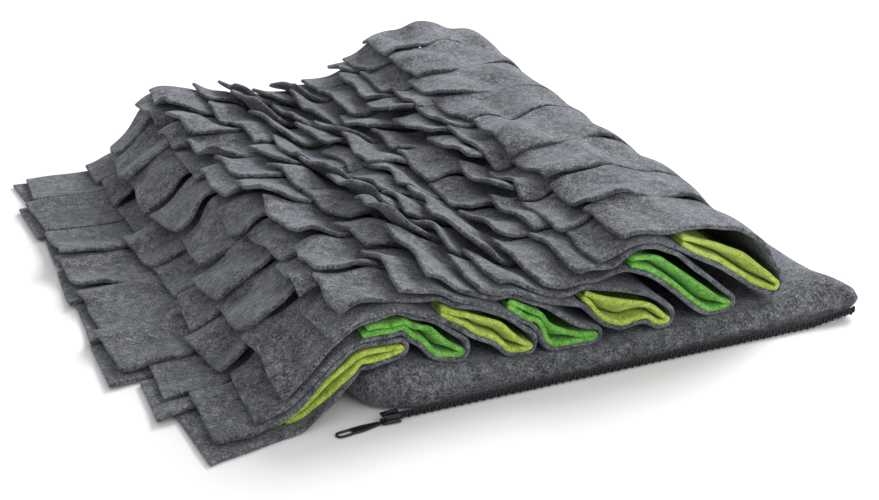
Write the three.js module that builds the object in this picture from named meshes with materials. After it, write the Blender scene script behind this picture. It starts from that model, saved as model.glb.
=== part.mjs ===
// Snuffle mat: a thin zipped pad with seven rows of folded fleece sewn along it. Each row is a
// wide grey strip folded over a shorter coloured one. Both halves of a grey strip are slit into
// tabs, and all of them lie over to the left like shingles, the first ones down to the floor.
// Millimetres, +Z up. The rows run along Y, the folds face +X and the tabs point to -X.
// Everything is worked out from the pad's front left corner. The origin is under the middle of
// the pad, and the whole group is shifted there at the end.
import * as THREE from "three";

// The pad.
const PAD_WIDTH = 346; // along X, across the rows
const PAD_DEPTH = 460; // along Y, as the rows run
const FRONT_LEFT_CORNER = 34; // plan radius of the corner by the zip's slider
const FRONT_RIGHT_CORNER = 8; // the same where the zip ends
const CORNER = 16; // plan radius of the two at the back
const TOP_ROUND = 14; // how far in from the side the top rounds over
const UNDER_ROUND = 9; // the same underneath, where the pad lies flat
const RIM_LINES = [0, 1.5, 5, TOP_ROUND]; // insets of the grid's lines where the sides round over
const LINES_ALONG = [100, 165, 230, 295, 360, 410]; // and its other lines from front to back
const SIDE_LEVEL = 0.5; // height of the widest line, as a share of the thickness
const BACK_RISE = 0.1; // the mat is this much thicker at the back than at the front
const BOW = 2; // how far the rows bow sideways along their length
const BOW_TURNS = 6.1; // and how they do it, in radians from front to back
const BOW_LEVEL = 40; // height from which they bow fully
const FAN = 0.3; // how much the leaves on the floor spread along Y as they go left
const FAN_CENTRE = 0.75; // share of the depth from which they spread
const EDGE_CLEAR = 2; // air between the pad's left side and the cloth over it
const LEAN = 14; // how far the last row leans over to the right at the back
const LEFT_BASE = 30; // over what length the pad's height runs out to the floor on the left

// The cloth.
const CLOTH = 2; // thickness of the fleece
const GAP = 0.5; // air between two layers
const LENGTH_JITTER = 8; // how unevenly the grey tabs end
const FRONT_SHORT = 24; // how much shorter the first row's tabs are at the front
const FRONT_SHORT_DEPTH = 140; // and over what length of the row
const LINER_LENGTH = 86; // from the fold to the edge of the coloured strip
const STRIP_START = 13; // from the pad's front edge
const STRIP_WIDTH = 436; // along the row
const TABS = 8; // in each half of a grey strip
const SLIT = 1.6; // width of the cut between two tabs
const SLIT_JITTER = 5; // how unevenly the slits are cut
const ROOT_STATION = 2; // stations from the fold to the root of the slits
const LINER_CELLS = 6; // facets along a coloured strip
const FOLD_REACH = 5.5; // how far a grey fold stands out to the right of its sewn line
const LINER_REACH = 2.4; // the same of the coloured fold inside it
const FOLD_STEPS = 4; // facets round a fold
const FOLD_OPEN = 1.8; // least air inside a fold
const LINER_STAND = 1.5; // how far a coloured strip's lower edge stands off
const LINER_CREST = 0.7; // exponent that moves its widest place towards the fold
const ARCH_CREST = 0.6; // the same of the grey arch over it
const CLIMB = 0.8; // steepest slope up which a leaf is laid
const DROP = 0.95; // steepest slope down which it hangs
const FIRST_DROP = 1.6; // the same for the lowest leaf, at the pad's left side
const FOLD_SHADOW = 0.3; // slope at which the next leaf comes down behind a fold
const CURL_LENGTH = 52; // how far from its tip a tab may stand off
const LOWER_CURL = 0.3; // share of that in the covered half of a strip
const OVERLAP = 5; // a tab also rests on what lies this far past its sides
const SLICE = 5; // pitch at which the height of the heap is kept along Y

// One line for each row, from left to right: where it is sewn, what it holds, the length of the
// grey strip's two halves from the fold to the tips, how far the coloured fold stands open, how
// high the grey one arches over it, how far its slits are shifted along the row, and how far its
// tabs stand off at their tips.
const ROWS = [
  { sewnX: 28, liner: "lime", lower: 158, upper: 151, open: 1, arch: 0, shift: 0, curl: 2 },
  { sewnX: 67, liner: "green", lower: 150, upper: 131, open: 3, arch: 0, shift: 9, curl: 3 },
  { sewnX: 110, liner: "lime", lower: 150, upper: 130, open: 3, arch: 1, shift: -8, curl: 5 },
  { sewnX: 157, liner: "green", lower: 150, upper: 130, open: 4, arch: 1, shift: 12, curl: 7 },
  { sewnX: 208, liner: "lime", lower: 150, upper: 130, open: 6, arch: 2, shift: -5, curl: 9 },
  { sewnX: 251, liner: "green", lower: 150, upper: 131, open: 8, arch: 5, shift: 7, curl: 9 },
  { sewnX: 288, liner: "lime", lower: 150, upper: 134, open: 11, arch: 12, shift: -3, curl: 9 },
];

// How much of its height above the pad the heap keeps, at the front and at the back. It lies
// flattest behind the middle, where most leaves cross, and stands highest at the last row.
const PRESSED = [
  { x: -62, front: 1, back: 1 },
  { x: 1, front: 0.95, back: 0.75 },
  { x: 28, front: 0.84, back: 0.67 },
  { x: 67, front: 0.78, back: 0.62 },
  { x: 110, front: 0.76, back: 0.64 },
  { x: 157, front: 0.82, back: 0.88 },
  { x: 208, front: 1.05, back: 1.18 },
  { x: 251, front: 1.12, back: 1.2 },
  { x: 288, front: 1.2, back: 1.15 },
];

// Height of the pad's top across the rows, pulled down where they are sewn.
const PAD_TOP = [
  { x: 0, z: 24 },
  { x: 28, z: 29 },
  { x: 67, z: 20 },
  { x: 110, z: 15 },
  { x: 157, z: 13 },
  { x: 208, z: 14 },
  { x: 251, z: 16 },
  { x: 288, z: 18 },
  { x: PAD_WIDTH, z: 20 },
];

// Where leaves bend, from right to left: at each sewn line, once between two of them, and then
// down over the pad's left side and out along the floor.
const BETWEEN = 0.45; // place of the bend between two sewn lines
const LEFT_STATIONS = [14, 1, -10, -24, -42, -62, -82, -102, -122, -142];

// The zip along the lower front edge, with its slider and pull at the left end.
const ZIP = { fromX: 21, front: -3.6, back: -0.6, floor: 0.6, height: 5.5 };
const SLIDER = { length: 11, width: 8.4, height: 6, round: 2.4, centreY: -2.1 };
const PULL = {
  length: 30,
  width: 7,
  thick: 1.6,
  slotLength: 9,
  slotWidth: 3.2,
  rim: 2,
  blunt: 1,
  turn: 0.12,
};
const FIT = 0.3; // air between hard pieces
const ZIP_END = -Math.PI / 8; // angle at which the band ends round the right corner

const COLOURS = { grey: "#5f6269", lime: "#b3cc3f", green: "#52b83f", black: "#1d1d1f" };
const FLEECE_ROUGH = 0.95;
const ENAMEL_ROUGH = 0.5;
const CURVE_STEPS = 8; // facets round an arc of the zip's parts

const lerp = THREE.MathUtils.lerp;
const clamp = THREE.MathUtils.clamp;

function material(colour, roughness) {
  return new THREE.MeshStandardMaterial({ color: COLOURS[colour], roughness, metalness: 0 });
}

// A repeatable number from 0 to 1 for one place in the heap.
function chance(row, leaf, tab, salt) {
  const wave = Math.sin(row * 12.9898 + leaf * 78.233 + tab * 37.719 + salt * 9.131) * 43758.5453;
  return wave - Math.floor(wave);
}

function ease(t) {
  const part = clamp(t, 0, 1);
  return part * part * (3 - 2 * part);
}

// A column of a table at a place between two of its lines.
function readAt(table, x, column) {
  const next = table.findIndex((point) => point.x >= x);
  if (next <= 0) {
    return next === 0 ? table[0][column] : table.at(-1)[column];
  }
  const [a, b] = [table[next - 1], table[next]];
  return lerp(a[column], b[column], (x - a.x) / (b.x - a.x));
}

function padTopAt(x) {
  return readAt(PAD_TOP, x, "z");
}

// The last shaping of every point of the soft pieces: the heap is pressed, the mat is thicker at
// the back, the rows bow a little, the last one leans over to the right, and the leaves on the
// floor fan out at both ends.
function settle(point) {
  const along = point.y / PAD_DEPTH;
  const high = clamp(point.z / BOW_LEVEL, 0, 1);
  const bow = BOW * Math.sin(BOW_TURNS * along) * high;
  const fan = FAN * Math.min(point.x, 0) * (FAN_CENTRE - along);
  const [uprightX, leaningX] = [ROWS.at(-3).sewnX, ROWS.at(-1).sewnX];
  const last = clamp((point.x - uprightX) / (leaningX - uprightX), 0, 1);
  const lean = LEAN * last * high * along ** 2;
  const base = padTopAt(point.x) * clamp(1 + point.x / LEFT_BASE, 0, 1);
  const kept = lerp(readAt(PRESSED, point.x, "front"), readAt(PRESSED, point.x, "back"), along);
  const height = point.z > base ? base + (point.z - base) * kept : point.z;
  const rise = 1 + BACK_RISE * along;
  return new THREE.Vector3(point.x + bow + lean, point.y + fan, height * rise);
}

function softSolid(name, points, triangles, skin) {
  const geometry = new THREE.BufferGeometry();
  const corners = new Float32Array(points.flatMap((point) => settle(point).toArray()));
  geometry.setAttribute("position", new THREE.BufferAttribute(corners, 3));
  geometry.setIndex(triangles);
  geometry.computeVertexNormals();
  const mesh = new THREE.Mesh(geometry, skin);
  mesh.name = name;
  return mesh;
}

// Lines of the pad's grid along one side.
function padLines(size, middle) {
  const far = [CORNER + TOP_ROUND / 2, ...RIM_LINES.toReversed()].map((inset) => size - inset);
  return [...RIM_LINES, FRONT_LEFT_CORNER, ...middle, ...far];
}

// A square corner of the grid is drawn in to a round one.
function roundCorner(x, y) {
  const left = x < PAD_WIDTH / 2;
  const front = y < PAD_DEPTH / 2;
  const frontRadius = left ? FRONT_LEFT_CORNER : FRONT_RIGHT_CORNER;
  const radius = front ? frontRadius : CORNER;
  const centreX = left ? radius : PAD_WIDTH - radius;
  const centreY = front ? radius : PAD_DEPTH - radius;
  const dx = left ? centreX - x : x - centreX;
  const dy = front ? centreY - y : y - centreY;
  if (dx <= 0 || dy <= 0) {
    return [x, y];
  }
  const shrink = Math.max(dx, dy) / Math.hypot(dx, dy);
  return [lerp(centreX, x, shrink), lerp(centreY, y, shrink)];
}

// The pad is two grids that share their rim: a rounded top and a flat underside.
function pad() {
  const sewn = ROWS.slice(1).map((row) => row.sewnX);
  const across = padLines(PAD_WIDTH, sewn);
  const along = padLines(PAD_DEPTH, LINES_ALONG);
  const points = [];
  const triangles = [];
  const layers = { top: [], under: [] };
  const swell = (inset, round) => Math.sqrt(1 - (1 - Math.min(inset, round) / round) ** 2);
  across.forEach((gridX, i) => {
    layers.top.push([]);
    layers.under.push([]);
    along.forEach((gridY) => {
      const inset = Math.min(gridX, gridY, PAD_WIDTH - gridX, PAD_DEPTH - gridY);
      const [x, y] = roundCorner(gridX, gridY);
      const thick = padTopAt(x);
      const level = thick * SIDE_LEVEL;
      const topZ = level + (thick - level) * swell(inset, TOP_ROUND);
      layers.top[i].push(points.push(new THREE.Vector3(x, y, topZ)) - 1);
      const underZ = level * (1 - swell(inset, UNDER_ROUND));
      const isRim = inset === 0;
      const place = isRim ? layers.top[i].at(-1) : points.push(new THREE.Vector3(x, y, underZ)) - 1;
      layers.under[i].push(place);
    });
  });
  for (let i = 0; i + 1 < across.length; i += 1) {
    for (let j = 0; j + 1 < along.length; j += 1) {
      const corners = (layer) => [layer[i][j], layer[i + 1][j], layer[i + 1][j + 1], layer[i][j + 1]];
      const [a, b, c, d] = corners(layers.top);
      triangles.push(a, b, c, a, c, d);
      const [e, f, g, h] = corners(layers.under);
      triangles.push(e, g, f, e, h, g);
    }
  }
  return softSolid("pad", points, triangles, material("grey", FLEECE_ROUGH));
}

// Stations across the mat, from right to left, and which of them each row is sewn at.
const stations = [];
const sewnStation = [];
for (let row = ROWS.length - 1; row >= 0; row -= 1) {
  const here = ROWS[row].sewnX;
  sewnStation[row] = stations.push(here) - 1;
  if (row > 0) {
    const next = ROWS[row - 1].sewnX;
    stations.push(lerp(next, here, BETWEEN));
  }
}
stations.push(...LEFT_STATIONS);

// The height of the heap so far, at every station and slice.
const sliceCount = Math.ceil((2 * STRIP_START + STRIP_WIDTH) / SLICE) + 1;
const heap = stations.map((x) => {
  const clear = x < ROWS[0].sewnX ? EDGE_CLEAR : 0;
  const ground = x > 0 ? padTopAt(x) + clear : -GAP;
  return new Array(sliceCount).fill(ground);
});

function slicesBetween(low, high) {
  const first = Math.max(0, Math.ceil(low / SLICE));
  const last = Math.min(sliceCount - 1, Math.floor(high / SLICE));
  return Array.from({ length: last - first + 1 }, (_, index) => first + index);
}

function highest(station, low, high) {
  return Math.max(...slicesBetween(low, high).map((slice) => heap[station][slice]));
}

// How much a vertical gap grows where the cloth slopes.
function slant(heights, index, first) {
  const slopes = [index, index + 1]
    .filter((right) => right > 0 && right < heights.length)
    .map((right) => {
      const run = stations[first + right - 1] - stations[first + right];
      return Math.abs(heights[right] - heights[right - 1]) / run;
    });
  return Math.sqrt(1 + Math.max(...slopes) ** 2);
}

// Heights of a leaf's middle at each station left of its sewn line, when it is laid over the
// heap between two places along the row. "air" says how far it stands off the heap.
function layLeaf(first, low, high, air, drop = DROP) {
  const count = stations.length - first;
  const rest = Array.from({ length: count }, (_, index) => highest(first + index, low, high));
  for (let index = count - 2; index >= 0; index -= 1) {
    const run = stations[first + index] - stations[first + index + 1];
    rest[index] = Math.max(rest[index], rest[index + 1] - CLIMB * run);
  }
  for (let index = 1; index < count; index += 1) {
    const run = stations[first + index - 1] - stations[first + index];
    rest[index] = Math.max(rest[index], rest[index - 1] - drop * run);
  }
  const laid = rest.map((height, index) => {
    const spread = stations[first] - stations[first + index];
    return height + air(spread);
  });
  return laid.map((height, index) => height + (CLOTH / 2 + GAP) * slant(laid, index, first));
}

// The station, counted from the fold, beyond which a leaf of this length ends, and where in the
// last stretch it does.
function tipOf(heights, first, length) {
  let left = length;
  for (let index = 1; index < heights.length; index += 1) {
    const run = stations[first + index - 1] - stations[first + index];
    const stretch = Math.hypot(run, heights[index] - heights[index - 1]);
    if (left <= stretch) {
      return { last: index, share: left / stretch };
    }
    left -= stretch;
  }
  return { last: heights.length - 1, share: 1 };
}

// Raises the heap by a laid piece, whose two sides may stand at different heights.
function raiseHeap(first, tab, last) {
  for (let index = 0; index <= Math.min(last, tab.low.length - 1); index += 1) {
    slicesBetween(tab.from, tab.to).forEach((slice) => {
      const place = clamp((slice * SLICE - tab.from) / (tab.to - tab.from), 0, 1);
      const middle = lerp(tab.low[index], tab.high[index], place);
      const top = middle + (CLOTH / 2) * slant(tab.low, index, first);
      heap[first + index][slice] = Math.max(heap[first + index][slice], top);
    });
  }
}

// The tabs of one half of a grey strip. Up to the slits' roots they share one height.
function layTabs(row, leaf, cuts) {
  const { arch, curl } = ROWS[row];
  const first = sewnStation[row];
  const upper = leaf === 1;
  const air = (spread) => {
    const part = clamp(spread / LINER_LENGTH, 0, 1);
    return upper ? FOLD_OPEN * (1 - part) + arch * Math.sin(Math.PI * part ** ARCH_CREST) : 0;
  };
  const drop = row === 0 && !upper ? FIRST_DROP : DROP;
  const tabs = [];
  for (let tab = 0; tab < TABS; tab += 1) {
    const from = cuts[tab] + (tab > 0 ? SLIT / 2 : 0);
    const to = cuts[tab + 1] - (tab < TABS - 1 ? SLIT / 2 : 0);
    tabs.push({ from, to, laid: layLeaf(first, from - OVERLAP, to + OVERLAP, air, drop) });
  }
  for (let index = 0; index <= ROOT_STATION; index += 1) {
    const shared = Math.max(...tabs.map((tab) => tab.laid[index]));
    tabs.forEach((tab) => {
      tab.laid[index] = shared;
    });
  }
  const stand = upper ? curl : curl * LOWER_CURL;
  const even = upper ? ROWS[row].upper : ROWS[row].lower;
  tabs.forEach((tab, number) => {
    const ragged = LENGTH_JITTER * (chance(row, leaf, number, 3) - 0.5);
    const short = row === 0 ? FRONT_SHORT * ease(1 - tab.from / FRONT_SHORT_DEPTH) : 0;
    const length = even + ragged - short;
    const flat = tipOf(tab.laid, first, length);
    const tipX = lerp(stations[first + flat.last - 1], stations[first + flat.last], flat.share);
    const curled = (salt) => (height, index) => {
      const fromTip = stations[first + index] - tipX;
      const free = index <= ROOT_STATION ? 0 : ease(1 - fromTip / CURL_LENGTH);
      return height + stand * chance(row, leaf, number, salt) * free;
    };
    tab.low = tab.laid.map(curled(1));
    tab.high = tab.laid.map(curled(2));
    tab.tip = tipOf(tab.low, first, length);
    raiseHeap(first, tab, tab.tip.last);
  });
  return tabs;
}

// One half of a coloured strip, the same all along the row.
function layLiner(row, leaf) {
  const first = sewnStation[row];
  const upper = leaf === 1;
  const air = (spread) => {
    const part = clamp(spread / LINER_LENGTH, 0, 1);
    const gape = ROWS[row].open * Math.sin(Math.PI * part ** LINER_CREST);
    return upper ? FOLD_OPEN * (1 - part) + gape : LINER_STAND * part;
  };
  const [from, to] = [STRIP_START, STRIP_START + STRIP_WIDTH];
  const laid = layLeaf(first, from, to, air);
  const piece = { from, to, low: laid, high: laid, tip: tipOf(laid, first, LINER_LENGTH) };
  raiseHeap(first, piece, piece.tip.last);
  return piece;
}

// A strip is a grid of points: from the edge of its lower half to the fold, round the fold, and
// on to the edge of its upper half. Each column belongs to one tab of each half.
function stripGrid(row, columns, lower, upper, reach) {
  const first = sewnStation[row];
  const lastOf = (half) => Math.max(...half.map((tab) => tab.tip.last));
  const lowerRows = lastOf(lower);
  const upperStart = lowerRows + FOLD_STEPS;
  const grid = columns.map(({ y, down, up }) => {
    const point = (heights, index) => new THREE.Vector3(stations[first + index], y, heights[index]);
    const under = Array.from({ length: lowerRows + 1 }, (_, index) => point(down, lowerRows - index));
    const over = Array.from({ length: lastOf(upper) + 1 }, (_, index) => point(up, index));
    const middle = (down[0] + up[0]) / 2;
    const half = (up[0] - down[0]) / 2;
    const fold = Array.from({ length: FOLD_STEPS - 1 }, (_, index) => {
      const turn = Math.PI * ((index + 1) / FOLD_STEPS - 0.5);
      const out = reach * Math.cos(turn);
      return new THREE.Vector3(stations[first] + out, y, middle + half * Math.sin(turn));
    });
    return [...under, ...fold, ...over];
  });
  const ends = columns.map(({ tab }) => ({
    low: { step: lowerRows - lower[tab].tip.last, inward: 1, share: lower[tab].tip.share },
    high: { step: upperStart + upper[tab].tip.last, inward: -1, share: upper[tab].tip.share },
  }));
  const present = (column, step) => {
    if (columns[column].tab !== columns[column + 1].tab) {
      return step >= lowerRows - ROOT_STATION && step < upperStart + ROOT_STATION;
    }
    return step >= ends[column].low.step && step < ends[column].high.step;
  };
  return { grid, present, ends, columns };
}

// The grid given its thickness: both faces, and a wall wherever a cell has no neighbour.
function clothSolid(name, { grid, present, ends, columns }, skin) {
  const points = [];
  const triangles = [];
  const steps = grid[0].length;
  const faces = grid.map((line, column) => {
    const pair = columns[column].tab === columns[column + 1]?.tab ? column : column - 1;
    const side = new THREE.Vector3();
    return line.map((point, step) => {
      const along = line[Math.min(step + 1, steps - 1)].clone().sub(line[Math.max(step - 1, 0)]);
      side.subVectors(grid[pair + 1][step], grid[pair][step]);
      const normal = along.cross(side).normalize().multiplyScalar(CLOTH / 2);
      return [point.clone().add(normal), point.clone().sub(normal)];
    });
  });
  ends.forEach(({ low, high }, column) => {
    [low, high].forEach(({ step, inward, share }) => {
      faces[column][step].forEach((point, face) => {
        point.lerpVectors(faces[column][step + inward][face], point.clone(), share);
      });
    });
  });
  const indices = faces.map((line) => line.map((pair) => pair.map((point) => points.push(point) - 1)));
  const cell = (column, step) =>
    column >= 0 && column + 1 < grid.length && step >= 0 && step + 1 < steps && present(column, step);
  const wall = (a, b) => triangles.push(a[0], a[1], b[1], a[0], b[1], b[0]);
  for (let column = 0; column + 1 < grid.length; column += 1) {
    for (let step = 0; step + 1 < steps; step += 1) {
      if (!cell(column, step)) {
        continue;
      }
      const [a, b] = [indices[column][step], indices[column][step + 1]];
      const [d, c] = [indices[column + 1][step], indices[column + 1][step + 1]];
      triangles.push(a[0], b[0], c[0], a[0], c[0], d[0]);
      triangles.push(a[1], c[1], b[1], a[1], d[1], c[1]);
      if (!cell(column - 1, step)) {
        wall(a, b);
      }
      if (!cell(column, step + 1)) {
        wall(b, c);
      }
      if (!cell(column + 1, step)) {
        wall(c, d);
      }
      if (!cell(column, step - 1)) {
        wall(d, a);
      }
    }
  }
  const used = [...new Set(triangles)];
  const renumbered = new Map(used.map((index, place) => [index, place]));
  return softSolid(
    name,
    used.map((index) => points[index]),
    triangles.map((index) => renumbered.get(index)),
    skin,
  );
}

// One row: the grey strip's lower half, the coloured strip, and the grey strip's upper half,
// laid in that order over all the rows to the left.
function layRow(row) {
  const { shift, liner } = ROWS[row];
  const cuts = Array.from({ length: TABS + 1 }, (_, cut) => {
    const even = STRIP_START + (STRIP_WIDTH * cut) / TABS;
    const ragged = shift + 2 * SLIT_JITTER * (chance(row, 0, cut, 4) - 0.5);
    return cut > 0 && cut < TABS ? even + ragged : even;
  });
  const greyLower = layTabs(row, 0, cuts);
  const linerLower = layLiner(row, 0);
  const linerUpper = layLiner(row, 1);
  const greyUpper = layTabs(row, 1, cuts);
  if (row + 1 < ROWS.length) {
    const behind = sewnStation[row] - 1;
    const fall = (stations[behind] - stations[behind + 1]) * FOLD_SHADOW;
    const top = highest(behind + 1, 0, PAD_DEPTH) - fall;
    heap[behind] = heap[behind].map((height) => Math.max(height, top));
  }
  const greyColumns = greyLower.flatMap((tab, number) => [
    { y: tab.from, down: tab.low, up: greyUpper[number].low, tab: number },
    { y: tab.to, down: tab.high, up: greyUpper[number].high, tab: number },
  ]);
  const linerColumns = Array.from({ length: LINER_CELLS + 1 }, (_, column) => {
    const y = lerp(linerLower.from, linerLower.to, column / LINER_CELLS);
    return { y, down: linerLower.low, up: linerUpper.low, tab: 0 };
  });
  const grey = stripGrid(row, greyColumns, greyLower, greyUpper, FOLD_REACH);
  const coloured = stripGrid(row, linerColumns, [linerLower], [linerUpper], LINER_REACH);
  return [
    clothSolid(`row_${row + 1}_outer`, grey, material("grey", FLEECE_ROUGH)),
    clothSolid(`row_${row + 1}_inner`, coloured, material(liner, FLEECE_ROUGH)),
  ];
}

function hardSolid(name, outline, height, floor) {
  const geometry = new THREE.ExtrudeGeometry(outline, {
    depth: height,
    bevelEnabled: false,
    curveSegments: CURVE_STEPS,
  });
  const mesh = new THREE.Mesh(geometry, material("black", ENAMEL_ROUGH));
  mesh.name = name;
  mesh.position.z = floor;
  return mesh;
}

// The closed zip: a band along the front that turns round the right corner.
function zipChain() {
  const round = FRONT_RIGHT_CORNER;
  const turnX = PAD_WIDTH - round;
  const [start, stop] = [-Math.PI / 2, ZIP_END];
  const band = new THREE.Shape();
  band.moveTo(ZIP.fromX, ZIP.front);
  band.lineTo(turnX, ZIP.front);
  band.absarc(turnX, round, round - ZIP.front, start, stop, false);
  band.absarc(turnX, round, round - ZIP.back, stop, start, true);
  band.lineTo(ZIP.fromX, ZIP.back);
  band.closePath();
  return hardSolid("zip_chain", band, ZIP.height, ZIP.floor);
}

function zipSlider() {
  const { length, width, height, round, centreY } = SLIDER;
  const [right, left] = [ZIP.fromX - FIT, ZIP.fromX - FIT - length];
  const [low, high] = [centreY - width / 2, centreY + width / 2];
  const body = new THREE.Shape();
  body.moveTo(right, low + round);
  body.lineTo(right, high - round);
  body.lineTo(right - round, high);
  body.lineTo(left + round, high);
  body.absarc(left + round, high - round, round, Math.PI / 2, Math.PI, false);
  body.absarc(left + round, low + round, round, Math.PI, 1.5 * Math.PI, false);
  body.lineTo(right - round, low);
  body.closePath();
  return hardSolid("zip_slider", body, height, ZIP.floor);
}

// The pull lies flat on the floor and points to the left, with a slot at its far end.
function zipPull() {
  const { length, width, thick, slotLength, slotWidth, rim, blunt, turn } = PULL;
  const plate = new THREE.Shape();
  const end = -length + width / 2;
  plate.moveTo(0, blunt - width / 2);
  plate.lineTo(0, width / 2 - blunt);
  plate.lineTo(-blunt, width / 2);
  plate.lineTo(end, width / 2);
  plate.absarc(end, 0, width / 2, Math.PI / 2, 1.5 * Math.PI, false);
  plate.lineTo(-blunt, -width / 2);
  plate.closePath();
  const slot = new THREE.Path();
  const slotEnd = -length + rim + slotWidth / 2;
  slot.absarc(slotEnd, 0, slotWidth / 2, Math.PI / 2, 1.5 * Math.PI, false);
  slot.absarc(slotEnd + slotLength - slotWidth, 0, slotWidth / 2, -Math.PI / 2, Math.PI / 2, false);
  plate.holes.push(slot);
  const mesh = hardSolid("zip_pull", plate, thick, 0);
  mesh.position.x = ZIP.fromX - FIT - SLIDER.length - 2 * FIT;
  mesh.position.y = SLIDER.centreY;
  mesh.rotation.z = turn;
  return mesh;
}

const mat = new THREE.Group();
mat.add(pad());
ROWS.forEach((_, row) => mat.add(...layRow(row)));
mat.add(zipChain(), zipSlider(), zipPull());
mat.position.set(-PAD_WIDTH / 2, -PAD_DEPTH / 2, 0);

export default mat;
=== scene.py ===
import math

import bmesh
import bpy
import numpy as np
from mathutils import Matrix, Vector, noise


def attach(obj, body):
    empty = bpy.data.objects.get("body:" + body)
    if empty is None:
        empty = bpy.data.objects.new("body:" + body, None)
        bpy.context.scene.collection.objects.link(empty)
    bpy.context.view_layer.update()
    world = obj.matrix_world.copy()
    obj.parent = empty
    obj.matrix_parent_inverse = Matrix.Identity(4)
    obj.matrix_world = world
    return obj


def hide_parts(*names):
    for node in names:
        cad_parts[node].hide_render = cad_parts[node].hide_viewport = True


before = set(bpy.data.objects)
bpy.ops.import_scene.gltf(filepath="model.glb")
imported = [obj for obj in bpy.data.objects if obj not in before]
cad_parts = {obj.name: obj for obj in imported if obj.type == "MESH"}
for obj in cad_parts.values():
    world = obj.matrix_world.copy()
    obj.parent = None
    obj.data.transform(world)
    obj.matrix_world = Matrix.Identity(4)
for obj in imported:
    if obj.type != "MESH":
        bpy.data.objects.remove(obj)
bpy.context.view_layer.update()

# Snuffle mat: a zipped pad with seven rows of folded fleece, slit into tabs that lie over to the left.
# All lengths are millimetres from the pad's front left corner. toFrame() presses and leans the heap,
# and toWorld() shifts it to the middle of the pad and turns it into metres.

mat = {
    "padWidth": 346,
    "padDepth": 460,
    "backRise": 0.1,  # the mat is thicker at the back
    "bow": 2,  # the rows bow sideways
    "bowTurns": 6.1,
    "bowLevel": 40,
    "lean": 14,  # how far the last row leans over to the right at the back
    "leanStart": 0.6,
    "leanFrom": 208,
    "leanTo": 288,
    "besidePad": 30,  # left of the pad, the level that the heap is pressed to falls to the floor over this
    # how much of its height above the pad the heap keeps, at each x, at the front and at the back
    "pressed": [(-60, 1, 1), (1, 1.05, 0.88), (28, 0.98, 0.68), (67, 0.95, 0.58), (110, 0.95, 0.68),
                (157, 0.95, 0.98), (208, 0.97, 1.03), (251, 1, 1.1), (288, 1.05, 1.15)],
    # slow irregular pushes, in mm and as a share of the height, that all layers share
    "stirAcross": 4.5,
    "stirAlong": 3.5,
    "stirHeight": 0.13,
    "stirReach": 34,
    "stirDepth": 22,
    "stirCalm": (16, 70),  # none at the very front, all of it from here on
    "stirAbove": 25,  # all of it from this height above the pad
    "seed": 7,
    "scatter": (12.9898, 78.233, 37.719, 9.131),
    "scatterScale": 43758.5453,
}
noise.seed_set(mat["seed"])  # the same folds in every run


def ease(t):
    part = np.clip(t, 0, 1)
    return part * part * (3 - 2 * part)


def lerp(a, b, t):
    return a + (b - a) * t


def chance(*keys):  # a repeatable number from 0 to 1 for one place in the heap
    wave = math.sin(sum(key * turn for key, turn in zip(keys, mat["scatter"]))) * mat["scatterScale"]
    return wave - math.floor(wave)


def spread(*keys):  # the same from -1 to 1
    return 2 * chance(*keys) - 1


def toFrame(points):  # the bow, the lean and the pressing that all layers share
    x, y, z = np.moveaxis(np.asarray(points, float), -1, 0)
    along = y / mat["padDepth"]
    high = np.clip(z / mat["bowLevel"], 0, 1)
    bow = mat["bow"] * np.sin(mat["bowTurns"] * along) * high
    last = np.clip((x - mat["leanFrom"]) / (mat["leanTo"] - mat["leanFrom"]), 0, 1)
    lean = mat["lean"] * last * high * ease((along - mat["leanStart"]) / (1 - mat["leanStart"]))
    spots, front, back = zip(*mat["pressed"])
    kept = lerp(np.interp(x, spots, front), np.interp(x, spots, back), along)
    base = padTopAt(x) * np.clip(1 + x / mat["besidePad"], 0, 1)
    height = np.where(z > base, base + (z - base) * kept, z) * (1 + mat["backRise"] * along)
    return np.stack([x + bow + lean, y, height], axis=-1)


def toWorld(points):  # metres from under the pad's middle
    return (points - (mat["padWidth"] / 2, mat["padDepth"] / 2, 0)) / 1000


def stir(points):  # the irregular pushes
    reach, depth = mat["stirReach"], mat["stirDepth"]
    calm, full = mat["stirCalm"]
    for point in points.reshape(-1, 3):
        x, y, z = point
        base = float(padTopAt(x)) if x > 0 else 0
        above = max(0, z - base)
        share = float(ease((y - calm) / (full - calm)) * ease(above / mat["stirAbove"]))
        if share > 0:
            place = Vector((x / reach, y / reach, z / depth))
            push = noise.noise_vector(place) * share
            point[0] += mat["stirAcross"] * push.x
            point[1] += mat["stirAlong"] * push.y
            point[2] += mat["stirHeight"] * above * push.z
    return points


def newPiece(name, bm, material):
    mesh = bpy.data.meshes.new(name)
    for face in bm.faces:
        face.smooth = True
    bm.to_mesh(mesh)
    bm.free()
    piece = bpy.data.objects.new(name, mesh)
    bpy.context.scene.collection.objects.link(piece)
    piece.data.materials.append(material)
    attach(piece, "root")
    return piece


def addSubsurf(piece):
    modifier = piece.modifiers.new("round", "SUBSURF")
    modifier.levels = modifier.render_levels = 1


def addWall(piece, thick):  # a wall in mm, half to each side
    wall = piece.modifiers.new("wall", "SOLIDIFY")
    wall.thickness = thick / 1000
    wall.offset = 0


def addSoften(piece, width, segments):  # softened edges, in mm
    soften = piece.modifiers.new("soften", "BEVEL")
    soften.width = width / 1000
    soften.segments = segments


def applyModifiers(piece):
    depsgraph = bpy.context.evaluated_depsgraph_get()
    mesh = bpy.data.meshes.new_from_object(piece.evaluated_get(depsgraph))
    piece.modifiers.clear()
    old = piece.data
    piece.data = mesh
    bpy.data.meshes.remove(old)


# Materials

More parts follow.
